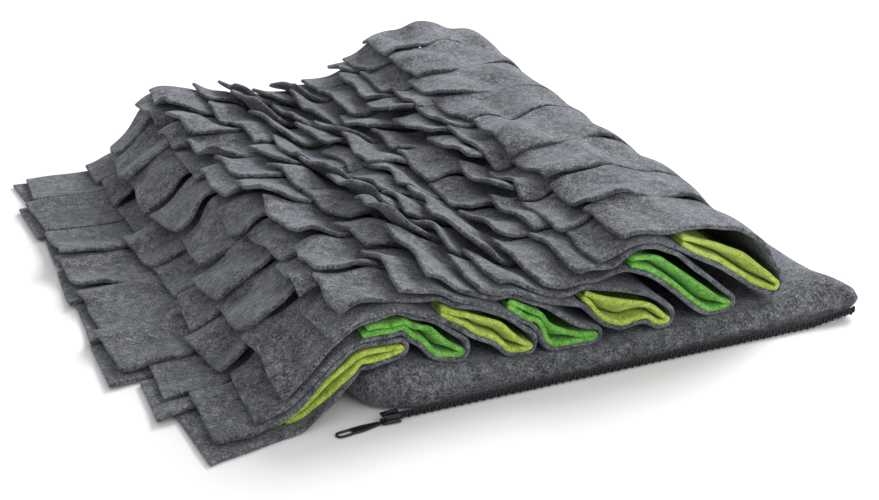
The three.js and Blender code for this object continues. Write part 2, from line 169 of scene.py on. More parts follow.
fleeceFeel = {
    # scale per metre, detail and roughness of the heather's specks, clumps and patches and of the pile
    "specks": (760, 2.5, 0.6),
    "clumps": (190, 3, 0.6),
    "patches": (26, 2, 0.5),
    "pile": (640, 3, 0.65),
    "mix": (0.5, 0.36, 0.14),  # how much specks, clumps and patches count
    "tonePlaces": (0.38, 0.46, 0.55, 0.64),
    "napDepth": 0.0011,
    "napStrength": 0.75,
    "roughness": 0.96,
    "specular": 0.15,
    "sheen": 0.35,
    "sheenRoughness": 0.45,
}

# from the darkest to the palest of each heather
fleeceTones = {
    "grey": [(0.030, 0.031, 0.034), (0.072, 0.075, 0.080), (0.140, 0.145, 0.154), (0.260, 0.266, 0.280)],
    "lime": [(0.205, 0.285, 0.032), (0.345, 0.455, 0.062), (0.455, 0.580, 0.105), (0.560, 0.680, 0.190)],
    "green": [(0.055, 0.195, 0.022), (0.105, 0.340, 0.045), (0.175, 0.465, 0.078), (0.270, 0.590, 0.140)],
}
sheenTints = {"grey": (0.75, 0.8, 0.95), "lime": (0.85, 1.0, 0.5), "green": (0.6, 1.0, 0.5)}

tapeFinish = {
    "tone": (0.012, 0.012, 0.014),
    "roughness": 0.85,
    "metallic": 0,
    "grain": 1500,
    "depth": 0.0004,
}
enamelFinish = {
    "tone": (0.014, 0.014, 0.016),
    "roughness": 0.32,
    "metallic": 0.2,
    "grain": 500,
    "depth": 0.00005,
}
# both are a little uneven: where the shades start and end, and how dark and pale they are
grainFeel = {"places": (0.35, 0.7), "shades": (0.6, 1.7), "strength": 0.5, "detail": 3, "roughness": 0.6}


def newMaterial(name, roughness):
    material = bpy.data.materials.new(name)
    material.use_nodes = True
    shader = material.node_tree.nodes["Principled BSDF"]
    shader.inputs["Roughness"].default_value = roughness
    return material, material.node_tree, shader


def addNoise(tree, place, scale, detail, roughness):
    texture = tree.nodes.new("ShaderNodeTexNoise")
    texture.inputs["Scale"].default_value = scale
    texture.inputs["Detail"].default_value = detail
    texture.inputs["Roughness"].default_value = roughness
    tree.links.new(place.outputs["Object"], texture.inputs["Vector"])
    return texture.outputs["Fac"]


def addMath(tree, operation, *terms):  # a term is a number or another node's output
    node = tree.nodes.new("ShaderNodeMath")
    node.operation = operation
    for socket, term in zip(node.inputs, terms):
        if isinstance(term, float):
            socket.default_value = term
        else:
            tree.links.new(term, socket)
    return node.outputs[0]


def addTones(tree, shader, level, places, tones):
    ramp = tree.nodes.new("ShaderNodeValToRGB")
    elements = ramp.color_ramp.elements
    elements[0].position, elements[1].position = places[0], places[-1]
    elements[0].color, elements[1].color = (*tones[0], 1), (*tones[-1], 1)
    for position, tone in zip(places[1:-1], tones[1:-1]):
        elements.new(position).color = (*tone, 1)
    tree.links.new(level, ramp.inputs["Fac"])
    tree.links.new(ramp.outputs["Color"], shader.inputs["Base Color"])


def addBump(tree, shader, height, strength, distance):
    bump = tree.nodes.new("ShaderNodeBump")
    bump.inputs["Strength"].default_value = strength
    bump.inputs["Distance"].default_value = distance
    tree.links.new(height, bump.inputs["Height"])
    tree.links.new(bump.outputs["Normal"], shader.inputs["Normal"])


def fleece(colour):
    material, tree, shader = newMaterial(f"{colour}Fleece", fleeceFeel["roughness"])
    shader.inputs["Specular IOR Level"].default_value = fleeceFeel["specular"]
    shader.inputs["Sheen Weight"].default_value = fleeceFeel["sheen"]
    shader.inputs["Sheen Roughness"].default_value = fleeceFeel["sheenRoughness"]
    shader.inputs["Sheen Tint"].default_value = (*sheenTints[colour], 1)
    place = tree.nodes.new("ShaderNodeTexCoord")
    specks = addNoise(tree, place, *fleeceFeel["specks"])
    clumps = addNoise(tree, place, *fleeceFeel["clumps"])
    patches = addNoise(tree, place, *fleeceFeel["patches"])
    speckShare, clumpShare, patchShare = fleeceFeel["mix"]
    level = addMath(tree, "MULTIPLY", patches, patchShare)
    level = addMath(tree, "MULTIPLY_ADD", clumps, clumpShare, level)
    level = addMath(tree, "MULTIPLY_ADD", specks, speckShare, level)
    addTones(tree, shader, level, fleeceFeel["tonePlaces"], fleeceTones[colour])
    pile = addNoise(tree, place, *fleeceFeel["pile"])
    nap = addMath(tree, "ADD", pile, clumps)
    addBump(tree, shader, nap, fleeceFeel["napStrength"], fleeceFeel["napDepth"])
    return material


def plainDark(name, finish):
    material, tree, shader = newMaterial(name, finish["roughness"])
    shader.inputs["Metallic"].default_value = finish["metallic"]
    place = tree.nodes.new("ShaderNodeTexCoord")
    grain = addNoise(tree, place, finish["grain"], grainFeel["detail"], grainFeel["roughness"])
    tones = [[shade * part for part in finish["tone"]] for shade in grainFeel["shades"]]
    addTones(tree, shader, grain, grainFeel["places"], tones)
    addBump(tree, shader, grain, grainFeel["strength"], finish["depth"])
    return material


fleeces = {colour: fleece(colour) for colour in fleeceTones}
tapeBlack = plainDark("blackTape", tapeFinish)
enamelBlack = plainDark("blackEnamel", enamelFinish)
print("materials ready")


# Pad

padShape = {
    "frontLeftCorner": 34,
    "corner": 16,
    "frontRightCorner": 8,
    "topRound": 15,
    "underRound": 5.5,
    "sideLevel": 0.5,  # the middle level, where the sides stand out furthest
    "top": [(0, 24), (28, 29), (67, 20), (110, 15), (157, 13), (208, 14), (251, 16), (288, 18), (346, 20)],
    "seam": 1,  # from the middle level to where the top and the underside start
    "cell": 7,
    "crowding": 0.35,  # how much the cells crowd towards the rim, where the sides round over
    "earRight": 7,  # the front right corner stands out, like a pillow's
    "earFront": 3,
    "earLift": 4.5,
    "earReach": 34,
    "earLow": 0.6,  # its share at the underside
    "voxel": 5,
    "pressure": 4,
    "settleFrames": 20,
    "quality": 5,
    "swell": 3.2,  # how far a point may move while the filling presses
    "bareFront": (4, 13),  # the filling shows from the rows' ends to the front edge
    "bareRight": (294, 312),  # and right of the last row
    "overZip": (3, 6),  # it only bulges above the zip
    "pucker": 0.9,  # small dents in the cover where it lies bare
    "puckerReach": (15, 15, 9),
}


def padTopAt(x):
    xs, zs = zip(*padShape["top"])
    return np.interp(x, xs, zs)


def roundCorner(x, y):
    left, front = x < mat["padWidth"] / 2, y < mat["padDepth"] / 2
    frontRadius = padShape["frontLeftCorner"] if left else padShape["frontRightCorner"]
    radius = frontRadius if front else padShape["corner"]
    centreX = radius if left else mat["padWidth"] - radius
    centreY = radius if front else mat["padDepth"] - radius
    dx = centreX - x if left else x - centreX
    dy = centreY - y if front else y - centreY
    if dx <= 0 or dy <= 0:
        return x, y
    shrink = max(dx, dy) / math.hypot(dx, dy)
    return lerp(centreX, x, shrink), lerp(centreY, y, shrink)


def crowd(t):
    crowding = padShape["crowding"]
    return 0.5 + 0.5 * math.sin((t - 0.5) * math.pi) * crowding + (t - 0.5) * (1 - crowding)


def swell(inset, reach):
    return math.sqrt(1 - (1 - min(inset, reach) / reach) ** 2)


def makePad():
    width, depth, seam = mat["padWidth"], mat["padDepth"], padShape["seam"]
    across, along = round(width / padShape["cell"]), round(depth / padShape["cell"])
    bm = bmesh.new()
    bmesh.ops.create_grid(bm, x_segments=across, y_segments=along, size=0.5)
    grown = bmesh.ops.extrude_face_region(bm, geom=bm.faces[:])["geom"]
    top = {item for item in grown if isinstance(item, bmesh.types.BMVert)}
    for vert in bm.verts:
        gridX = crowd(vert.co.x + 0.5) * width
        gridY = crowd(vert.co.y + 0.5) * depth
        inset = max(0, min(gridX, gridY, width - gridX, depth - gridY))
        x, y = roundCorner(gridX, gridY)
        thick = float(padTopAt(x))
        level = thick * padShape["sideLevel"]
        if vert in top:
            z = level + seam + (thick - level - seam) * swell(inset, padShape["topRound"])
        else:
            z = (level - seam) * (1 - swell(inset, padShape["underRound"]))
        ear = math.exp(-((width - x) ** 2 + y ** 2) / padShape["earReach"] ** 2)
        ear *= padShape["earLow"] + (1 - padShape["earLow"]) * float(ease(z / level))
        lift = padShape["earLift"] * ear
        spot = toFrame((x, y, z)) + (padShape["earRight"] * ear, -padShape["earFront"] * ear, lift)
        vert.co = Vector(toWorld(spot))
    bmesh.ops.recalc_face_normals(bm, faces=bm.faces[:])
    return newPiece("pad_cover", bm, fleeces["grey"])


def pressFilling(piece):  # pressure from inside rounds the cover where it lies bare
    scene = bpy.context.scene
    remesh = piece.modifiers.new("even", "REMESH")
    remesh.mode = "VOXEL"
    remesh.voxel_size = padShape["voxel"] / 1000
    applyModifiers(piece)
    rest = np.array([vert.co for vert in piece.data.vertices])
    pushed = rest
    soft = piece.modifiers.new("filling", "CLOTH")
    soft.settings.use_pressure = True
    soft.settings.uniform_pressure_force = padShape["pressure"]
    soft.settings.effector_weights.gravity = 0
    soft.settings.quality = padShape["quality"]
    soft.point_cache.frame_start = 1
    soft.point_cache.frame_end = padShape["settleFrames"]
    for number in range(1, padShape["settleFrames"] + 1):
        scene.frame_set(number)
    solved = piece.evaluated_get(bpy.context.evaluated_depsgraph_get()).to_mesh()
    pushed = np.array([vert.co for vert in solved.vertices])
    piece.modifiers.clear()
    scene.frame_set(1)
    x, y, z = (rest * 1000 + (mat["padWidth"] / 2, mat["padDepth"] / 2, 0)).T
    inFront = 1 - ease((y - padShape["bareFront"][0]) / np.ptp(padShape["bareFront"]))
    toRight = ease((x - padShape["bareRight"][0]) / np.ptp(padShape["bareRight"]))
    bare = np.maximum(inFront, toRight)
    low, high = padShape["overZip"]
    bare = bare * ease((z - low) / (high - low))
    push = pushed - rest
    size = np.linalg.norm(push, axis=1, keepdims=True)
    cap = padShape["swell"] / 1000
    reachX, reachY, reachZ = padShape["puckerReach"]
    push *= np.minimum(1, cap / np.maximum(size, 1e-9)) * bare[:, None]
    for i, vert in enumerate(piece.data.vertices):
        place = Vector((x[i] / reachX, y[i] / reachY, z[i] / reachZ))
        dent = padShape["pucker"] / 1000 * bare[i] * noise.noise(place)
        vert.co = Vector(rest[i] + push[i]) + vert.normal * dent
    piece.data.update()
    for face in piece.data.polygons:
        face.use_smooth = True


pad = makePad()
pressFilling(pad)
addSubsurf(pad)
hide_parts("pad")
print("pad made")


# Heap: the height of all that lies on the mat so far, on a fine grid

cloth = {
    "thick": 3.0,
    "linerThick": 3.4,
    "air": 0.12,
    "uneven": 1.2,
    "linerUneven": 0.8,
    "unevenReach": (9, 14),  # of the pushes sideways and up
    "unevenRows": (3.1, 5.3),  # keeps the rows' pushes apart
    "unevenUp": (0.5, 8),  # how much the pushes up count, and their start
    "linerRows": 20,  # keeps the coloured strips' pushes apart from the grey ones'
    "offFloor": 0.2,
}
heapCells = {"x": 3.0, "y": 1.5, "left": -168, "right": 348, "front": -30, "back": 486}
padEdge = {"to": 28, "rise": 2}  # the first row starts a little above the pad's left edge
empty = -99  # lower than anything
steepest = 3  # slopes past this count as this

heapX = np.arange(heapCells["left"], heapCells["right"] + 1, heapCells["x"])
heapY = np.arange(heapCells["front"], heapCells["back"] + 1, heapCells["y"])
padLine = padTopAt(heapX) + np.where(heapX < padEdge["to"], padEdge["rise"], 0)
groundLine = np.where(heapX > 0, padLine, -cloth["air"])
heap = np.repeat(groundLine[:, None], len(heapY), axis=1)

rowShape = {
    "lengthJitter": 8,
    "linerLength": 86,
    "firstLonger": 14,  # how much longer the first coloured strip is at the front
    "linerColumns": 46,
    "linerRoot": 12,
    "linerRootSteps": 2,
    "linerTipSteps": 13,
    "linerFoldSteps": 4,
    "linerRagged": (1.5, 17),  # how uneven its edge is, and over what reach
    "linerSlack": 1.5,  # how far its lower half rises off the cloth below at the edge
    "start": 13,
    "width": 436,
    "tabs": 8,
    "slit": 1.6,
    "slitJitter": 5,
    "root": 27,  # from the fold to the root of the slits
    "rootJitter": 7,
    "columns": 8,  # cells across a tab, besides a narrow one at each side
    "edge": 1.5,
    "rootSteps": 4,
    "tipSteps": 18,
    "foldSteps": 6,
    "foldReach": 5.5,
    "linerReach": 2.6,
    "foldOpen": 1.6,
    "closeDepth": 5.5,  # how far in from the mat's edge a coloured fold closes up
    "closeGap": 0.2,
    "closeSlope": 1.6,
    "frontZone": (24, 78),
    "frontFade": 30,
    "behind": 0.8,  # how far the front lines hold behind that zone
    "tipZone": 46,  # how far from its tip a tab may stand off
    "flare": 3.5,  # how far a tab's front edge spreads over its neighbour at the tip
    "fan": ((0.3, 0.12), (0.04, 0.04)),  # spread along y of the leaves on the floor, first row and others
    "fanCentre": 0.75,
    "frontShort": 26,  # how much shorter the first row's tabs are at the front
    "frontShortDepth": 140,
    "foldRise": (1.0, 0.55),  # the heap's share of a fold's height in the two cells right of it
}

# How the cloth lies: its steepest slopes up and down, how sharply it bends over a crest, at the knee
# where it still climbs and in a valley (per mm), its steepest slope across, and rounds of smoothing.
sheetFeel = {
    "climb": 0.85,
    "drop": 1.3,
    "crest": 0.045,
    "knee": 0.16,
    "valley": 0.05,
    "across": 0.5,
    "rounds": 40,
}

# What one tab adds to its leaf: from limp to stiff cloth, then how its tip and its edges stand off
tabFeel = {
    "crest": (0.05, 0.022),
    "across": (0.35, 0.15),
    "drop": (1.3, 0.95),
    "topStiff": 0.2,
    "ownRise": 9,  # how far a tab may stand off its leaf
    "topOwnRise": 3.4,
    "ownFrom": 22,  # it leaves the leaf over this length
    "standFrom": 30,
    "lowerShare": 0.45,  # how much the lower leaves do of what follows
    "tipSlant": 3,
    "skew": 4,
    "tipLift": 0.5,
    "twist": 0.75,
    "crown": 0.3,
    "waveLength": (34, 56),
    "waveSlant": 0.2,
}

# What chance() is asked for, each with a number of its own, so that it stays the same in every run
draw = {
    "tipLift": 1,
    "twist": 2,
    "length": 3,
    "cut": 4,
    "root": 5,
    "skew": 6,
    "tipSlant": 8,
    "stiff": 9,
    "waveLength": 10,
    "waveStart": 11,
    "crown": 12,
    "wave": 13,
}

# Rows from left to right: x of the fold, the colour inside, the lengths of the two halves, how far the
# coloured fold stands open, how high the grey one arches, how far the slits are shifted, and how much
# the tips curl and the tabs wave.
rowColumns = ("x", "liner", "lower", "upper", "open", "arch", "shift", "curl", "wave")
rowTable = [
    (27, "lime", 162, 154, 1, 0, 0, 4, 0),
    (66, "green", 153, 131, 4, 0, 9, 6, 1),
    (111, "lime", 150, 130, 3, 1, -8, 9, 2),
    (156, "green", 150, 130, 4, 1, 12, 11, 3),
    (207, "lime", 150, 130, 5, 2, -5, 12, 3),
    (252, "green", 150, 131, 6, 3, 7, 11, 2),
    (288, "lime", 150, 134, 8, 9, -3, 3, 0),
]
rows = [dict(zip(rowColumns, line)) for line in rowTable]

# Lines (x, z) that the coloured strips follow at the front, from the fold to the edge
frontLines = {
    (0, "lower"): [(28, 32), (13, 34), (3.6, 29.5), (-6, 17.2), (-18.6, 5.5), (-29.8, 2)],
    (0, "upper"): [(28, 35.6), (19.3, 39.2), (7, 39.3), (-5.6, 33.5), (-18, 25.2), (-30.5, 13), (-44, 3.5)],
    (1, "lower"): [(67, 20), (52.1, 21), (46.3, 35.5), (38.1, 43.7), (5.2, 46.7)],
    (1, "upper"): [(67, 27.8), (57.2, 36.5), (47.7, 48.4), (16.4, 54.6), (5.3, 53.7)],
    (2, "lower"): [(110, 15.5), (101.4, 17.1), (91.2, 30.8), (73.3, 41.1), (63.6, 49.7), (52.1, 54.5)],
    (2, "upper"): [(110, 22), (106.5, 26.2), (92.9, 42.4), (73.3, 51.7), (52.1, 58.5)],
    (3, "lower"): [(156, 12.7), (146.5, 14.4), (134, 17.1), (123.7, 19.3), (119.9, 33.7), (106.2, 43.1),
                   (96, 53)],
    (3, "upper"): [(156, 16.2), (147.7, 21.1), (123.1, 36), (112.8, 47.4), (96, 57)],
    (4, "lower"): [(207, 13.6), (202, 14.5), (197, 25), (188, 26), (177, 23), (161.1, 31), (150, 46)],
    (4, "upper"): [(207, 20), (203, 28), (194, 34.5), (174.4, 42), (150, 50)],
    (5, "lower"): [(251, 16.6), (240, 19.5), (229, 28), (215, 41.5), (194.9, 58), (180.2, 65)],
    (5, "upper"): [(251, 22), (244.1, 29.6), (216.6, 52.2), (197.8, 67.7), (180.2, 69)],
    (6, "lower"): [(288, 25.3), (273, 32.5), (259, 43), (246, 53), (226.7, 64), (215.1, 72)],
    (6, "upper"): [(288, 31), (285.1, 34.7), (260.3, 56.5), (233.4, 69.5), (215.1, 76)],
}
frontArch = {
    6: [(288, 40), (276.4, 59.8), (255, 73.8), (237.9, 76.8), (222.2, 77), (204, 80.3), (186.2, 84.5)],
}


def alongOf(heights):  # length of cloth from the fold to each cell
    rises = np.diff(heights, axis=0)
    steps = np.hypot(heapCells["x"], rises)
    return np.vstack([np.zeros((1, heights.shape[1])), np.cumsum(steps, axis=0)])


def slantOf(heights):
    slope = np.clip(np.gradient(heights, heapCells["x"], axis=0), -steepest, steepest)
    return np.sqrt(1 + slope ** 2)


def layOver(rest, ys, feel):  # lifts a line of heights until cloth could lie like that
    cell = heapCells["x"]
    run = np.arange(len(rest))[:, None] * cell
    h = np.maximum.accumulate((rest - feel["climb"] * run)[::-1], axis=0)[::-1] + feel["climb"] * run
    for j in range(1, len(ys)):
        h[:, j] = np.maximum(h[:, j], h[:, j - 1] - feel["across"] * (ys[j] - ys[j - 1]))
    for j in range(len(ys) - 2, -1, -1):
        h[:, j] = np.maximum(h[:, j], h[:, j + 1] - feel["across"] * (ys[j + 1] - ys[j]))
    for i in range(1, len(h) - 1):  # it bends down over a crest no faster than its stiffness lets it
        slope = h[i] - h[i - 1]
        bend = np.where(slope > 0, feel["knee"], feel["crest"]) * cell ** 2
        h[i + 1] = np.maximum(h[i + 1], h[i] + np.maximum(slope - bend, -feel["drop"] * cell))
    valley = feel["valley"] * cell ** 2 / 2
    before, after = ys[1:-1] - ys[:-2], ys[2:] - ys[1:-1]
    share = before / (before + after)
    hollow = feel["valley"] * before * after / 2
    for _ in range(feel["rounds"]):
        h[1:-1] += np.maximum(0, (h[:-2] + h[2:]) / 2 - h[1:-1] - valley) / 2
        level = h[:, :-2] + (h[:, 2:] - h[:, :-2]) * share
        h[:, 1:-1] += np.maximum(0, level - h[:, 1:-1] - hollow) / 2
    return h


def heapUnder(cells, low, high):  # highest place of the heap between two ys, for each cell and column
    first = np.clip(np.ceil((low - heapY[0]) / heapCells["y"]), 0, len(heapY) - 1).astype(int)
    last = np.clip(np.floor((high - heapY[0]) / heapCells["y"]), 0, len(heapY) - 1).astype(int)
    last = np.maximum(first, last)
    best = heap[cells[:, None], first]
    for step in range(1, int((last - first).max()) + 1):
        best = np.maximum(best, heap[cells[:, None], np.minimum(first + step, last)])
    return best


def raiseHeap(cells, ys, heights, ends):  # ys and heights: cell by column
    tops = heights + cloth["thick"] / 2 * slantOf(heights)
    for i, cell in enumerate(cells[: int(ends.max()) + 1]):
        first = int(math.ceil((ys[i, 0] - heapY[0]) / heapCells["y"]))
        last = int(math.floor((ys[i, -1] - heapY[0]) / heapCells["y"]))
        if last < first:
            continue
        spots = heapY[first : last + 1]
        top = np.interp(spots, ys[i], tops[i])
        inside = np.interp(spots, ys[i], ends) >= i
        strip = heap[cell, first : last + 1]
        heap[cell, first : last + 1] = np.maximum(strip, np.where(inside, top, empty))


def frontPull(line, cells, laid, lift):  # how far the front line stands from where the leaf would lie
    xs, zs = zip(*line[::-1])
    spots = heapX[cells]
    drawn = np.interp(spots, xs, zs)
    wanted = drawn + lift * np.sqrt(1 + np.gradient(drawn, spots) ** 2)
    away = wanted[:, None] - laid
    covered = spots >= xs[0]
    end = int(covered.sum()) - 1
    fade = ease(1 - (xs[0] - spots[end:]) / rowShape["frontFade"])
    away[end:] = away[end] * fade[:, None]
    return away


def frontShare(ys):
    start, stop = rowShape["frontZone"]
    return 1 - ease((ys - start) / (stop - start))


def columnGaps(ys):  # how far each column looks to either side
    gaps = np.diff(ys)
    low = np.concatenate([[0], gaps / 2])
    high = np.concatenate([gaps / 2, [0]])
    return low, high


def laySheet(cells, ys, air, line=None, lift=0.0):
    low, high = columnGaps(ys)
    bare = heapUnder(cells, np.tile(ys - low, (len(cells), 1)), np.tile(ys + high, (len(cells), 1)))
    laid = layOver(bare, ys, sheetFeel) + air(heapX[cells[0]] - heapX[cells])[:, None]
    laid += (cloth["thick"] / 2 + cloth["air"]) * slantOf(laid)
    share = lerp(rowShape["behind"], 1, frontShare(ys))
    if line is not None:
        pulled = laid + frontPull(line, cells, laid, lift) * share
        least = bare + (cloth["thick"] / 2 + cloth["air"]) * slantOf(bare)
        laid = np.maximum(pulled, least)
    return laid


def cutPlaces(row):
    start, width, tabs = rowShape["start"], rowShape["width"], rowShape["tabs"]
    cuts = [start + width * cut / tabs for cut in range(tabs + 1)]
    for cut in range(1, tabs):
        cuts[cut] += rows[row]["shift"] + rowShape["slitJitter"] * spread(row, 0, cut, draw["cut"])
    return cuts


def tabColumns(cuts, tab):
    low = cuts[tab] + (rowShape["slit"] / 2 if tab > 0 else 0)
    high = cuts[tab + 1] - (rowShape["slit"] / 2 if tab < rowShape["tabs"] - 1 else 0)
    edge = rowShape["edge"]
    inner = np.linspace(low + edge, high - edge, rowShape["columns"] + 1)
    return np.concatenate([[low], inner, [high]])


def cellsOf(row):  # the heap's cells from the fold to the left
    first = int(round((rows[row]["x"] - heapX[0]) / heapCells["x"]))
    return np.arange(first, -1, -1)


def cellsReached(lengths, heights, cells):  # how many cells each column's cloth covers
    along, numbers = alongOf(heights), np.arange(len(cells))
    return np.array([np.interp(length, along[:, c], numbers) for c, length in enumerate(lengths)])


def layTabs(row, leaf, cuts):
    facts = rows[row]
    cells = cellsOf(row)
    upper = leaf == 1
    isTop = row == len(rows) - 1 and upper
    columns = [tabColumns(cuts, tab) for tab in range(rowShape["tabs"])]

    def air(out):
        part = np.clip(out / rowShape["linerLength"], 0, 1)
        if not upper:
            return np.zeros_like(part)
        return rowShape["foldOpen"] * (1 - part) + facts["arch"] * np.sin(np.pi * part ** 0.6)

    line, lift = None, 0.0
    if not upper:
        line, lift = frontLines[(row, "lower")], -(cloth["thick"] + cloth["air"])
    elif row in frontArch:
        line = frontArch[row]
    sheet = laySheet(cells, np.concatenate(columns), air, line, lift)
    step = len(columns[0])
    strength = 1 if upper else tabFeel["lowerShare"]
    out = np.minimum(heapX[cells], 0)[:, None]
    fanRate = rowShape["fan"][min(row, 1)][leaf]
    tabs = []
    for tab, ys in enumerate(columns):
        base = sheet[:, tab * step : (tab + 1) * step]
        along = alongOf(base)
        length = facts["upper" if upper else "lower"]
        length += rowShape["lengthJitter"] * spread(row, leaf, tab, draw["length"]) / 2
        if row == 0:
            length -= rowShape["frontShort"] * float(ease(1 - ys[0] / rowShape["frontShortDepth"]))
        v = np.linspace(-1, 1, step)
        tipLength = length + tabFeel["tipSlant"] * spread(row, leaf, tab, draw["tipSlant"]) * v
        root = rowShape["root"] + rowShape["rootJitter"] * spread(row, leaf, tab, draw["root"])
        # its place along the row
        free = ease((along - root) / (length - root))
        skew = tabFeel["skew"] * spread(row, leaf, tab, draw["skew"]) * free
        flare = -rowShape["flare"] * (1 - v) / 2 * free if tab > 0 else 0
        fan = fanRate * out * (rowShape["fanCentre"] - ys[None, :] / mat["padDepth"])
        tabYs = ys[None, :] + skew + flare + fan
        # its own drape over what it meets there
        low, high = columnGaps(ys)
        bare = heapUnder(cells, tabYs - low, tabYs + high)
        stiff = tabFeel["topStiff"] if isTop else chance(row, leaf, tab, draw["stiff"])
        feel = dict(sheetFeel, **{name: lerp(*tabFeel[name], stiff) for name in ("crest", "across", "drop")})
        own = layOver(bare, ys, feel) + air(heapX[cells[0]] - heapX[cells])[:, None]
        own += (cloth["thick"] / 2 + cloth["air"]) * slantOf(own)
        own = base + np.clip(own - base, 0, tabFeel["topOwnRise" if isTop else "ownRise"])
        h = lerp(base, own, ease((along - root) / tabFeel["ownFrom"]))
        # its tip and edges
        standing = ease((along - root) / tabFeel["standFrom"])
        nearTip = ease(1 - (length - along) / rowShape["tipZone"]) * standing
        tipLift = max(0, spread(row, leaf, tab, draw["tipLift"])) ** 0.7 * nearTip
        twist = chance(row, leaf, tab, draw["twist"]) ** 2 * ((1 - v) / 2) ** 1.4 * nearTip
        crown = chance(row, leaf, tab, draw["crown"]) * (1 - v ** 2) * nearTip
        curl = tabFeel["tipLift"] * tipLift + tabFeel["twist"] * twist + tabFeel["crown"] * crown
        waveLength = lerp(*tabFeel["waveLength"], chance(row, leaf, tab, draw["waveLength"]))
        turns = along / waveLength + chance(row, leaf, tab, draw["waveStart"]) + tabFeel["waveSlant"] * v
        waving = (0.5 + 0.5 * np.sin(2 * np.pi * turns)) * standing * np.abs(v) ** 0.5
        waves = facts["wave"] * strength * max(0, spread(row, leaf, tab, draw["wave"])) * 2
        h = h + facts["curl"] * strength * curl + waves * waving
        raiseHeap(cells, tabYs, h, cellsReached(tipLength, h, cells))
        tabs.append({"ys": tabYs, "h": h, "length": tipLength})
    return tabs


def layLiner(row, leaf, ys):
    facts = rows[row]
    cells = cellsOf(row)
    upper = leaf == 1

    def air(out):
        part = np.clip(out / rowShape["linerLength"], 0, 1)
        if upper:
            return rowShape["foldOpen"] * (1 - part) + facts["open"] * np.sin(np.pi * part ** 0.7)
        return rowShape["linerSlack"] * part

    line = frontLines[(row, "upper" if upper else "lower")]
    h = laySheet(cells, ys, air, line)
    drawn = sum(math.dist(a, b) for a, b in zip(line, line[1:]))
    drawn += rowShape["firstLonger"] if row == 0 else 0
    size, reach = rowShape["linerRagged"]
    lengths = lerp(rowShape["linerLength"], drawn, frontShare(ys))
    lengths = lengths + np.array([size * noise.noise((y / reach, row, leaf)) for y in ys])
    linerYs = np.tile(ys, (len(cells), 1))
    raiseHeap(cells, linerYs, h, cellsReached(lengths, h, cells))
    return {"ys": linerYs, "h": h, "length": lengths}


def foldRound(lowPoint, highPoint, reach, steps):
    middle, half = (lowPoint[2] + highPoint[2]) / 2, (highPoint[2] - lowPoint[2]) / 2
    points = []
    for step in range(1, steps):
        turn = math.pi * (step / steps - 0.5)
        points.append((lowPoint[0] + reach * math.cos(turn), lowPoint[1], middle + half * math.sin(turn)))
    return points


def halfLine(x, half, c, root, rootSteps, tipSteps):  # points of one column, from the fold to the tip
    ys, h, length = half["ys"][:, c], half["h"][:, c], half["length"][c]
    along = np.concatenate([[0], np.cumsum(np.hypot(np.diff(x), np.diff(h)))])
    near = np.linspace(0, root, rootSteps + 1)
    far = np.linspace(root, length - rowShape["edge"], tipSteps)[1:]
    lengths = np.concatenate([near, far, [length]])
    return np.stack([np.interp(lengths, along, track) for track in (x, ys, h)], axis=-1)


def clothPiece(name, points, missing, material, thick):
    # points: step by column, in millimetres
    steps, columns = points.shape[:2]
    bm = bmesh.new()
    bmesh.ops.create_grid(bm, x_segments=columns - 1, y_segments=steps - 1, size=1)
    places = toWorld(stir(toFrame(points))).reshape(-1, 3)
    places[:, 2] = np.maximum(places[:, 2], (thick / 2 + cloth["offFloor"]) / 1000)
    for vert, place in zip(bm.verts, places):
        vert.co = place
    bm.faces.ensure_lookup_table()
    gone = [bm.faces[step * (columns - 1) + column] for step, column in missing]
    bmesh.ops.delete(bm, geom=gone, context="FACES")
    piece = newPiece(name, bm, material)
    addWall(piece, thick)
    addSubsurf(piece)
    return piece


def uneven(points, row, size):  # small irregularities of hand-cut cloth
    flat = points.reshape(-1, 3)
    fine, wide = cloth["unevenReach"]
    sideRow, upRow = cloth["unevenRows"]
    upShare, upStart = cloth["unevenUp"]
    for i, (x, y, z) in enumerate(flat):
        flat[i, 1] += size * noise.noise((x / fine, y / fine, row * sideRow))
        flat[i, 2] += size * upShare * noise.noise((x / wide, y / wide, row * upRow + upStart))
    return flat.reshape(points.shape)


def slitFaces(steps, halfSteps):  # the narrow faces between two tabs, past the slit's root
    perTab = rowShape["columns"] + 3
    missing = []
    for tab in range(1, rowShape["tabs"]):
        for step in range(steps - 1):
            fromLow = halfSteps - 1 - step
            fromHigh = step - (steps - halfSteps)
            if fromLow > rowShape["rootSteps"] or fromHigh >= rowShape["rootSteps"]:
                missing.append((step, tab * perTab - 1))
    return missing


def makeGrey(row, lower, upper):
    cells = cellsOf(row)
    sizes = rowShape["root"], rowShape["rootSteps"], rowShape["tipSteps"]
    columns = []
    for tab in range(rowShape["tabs"]):
        for c in range(lower[tab]["ys"].shape[1]):
            low, high = [halfLine(heapX[cells], half[tab], c, *sizes) for half in (lower, upper)]
            fold = foldRound(low[0], high[0], rowShape["foldReach"], rowShape["foldSteps"])
            columns.append(np.vstack([low[::-1], fold, high]))
    points = uneven(np.stack(columns, axis=1), row, cloth["uneven"])
    halfSteps = rowShape["rootSteps"] + rowShape["tipSteps"] + 1
    missing = slitFaces(len(points), halfSteps)
    grey = clothPiece(f"row_{row + 1}_grey", points, missing, fleeces["grey"], cloth["thick"])
    # the heap rises over the fold as well
    foldTop = points[halfSteps + rowShape["foldSteps"] - 2, :, 2] + cloth["thick"] / 2
    risen = np.interp(heapY, points[halfSteps, :, 1], foldTop)
    for cell, share in enumerate(rowShape["foldRise"], cells[0] + 1):
        if cell < len(heapX):
            heap[cell] = np.maximum(heap[cell], risen * share)
    return grey


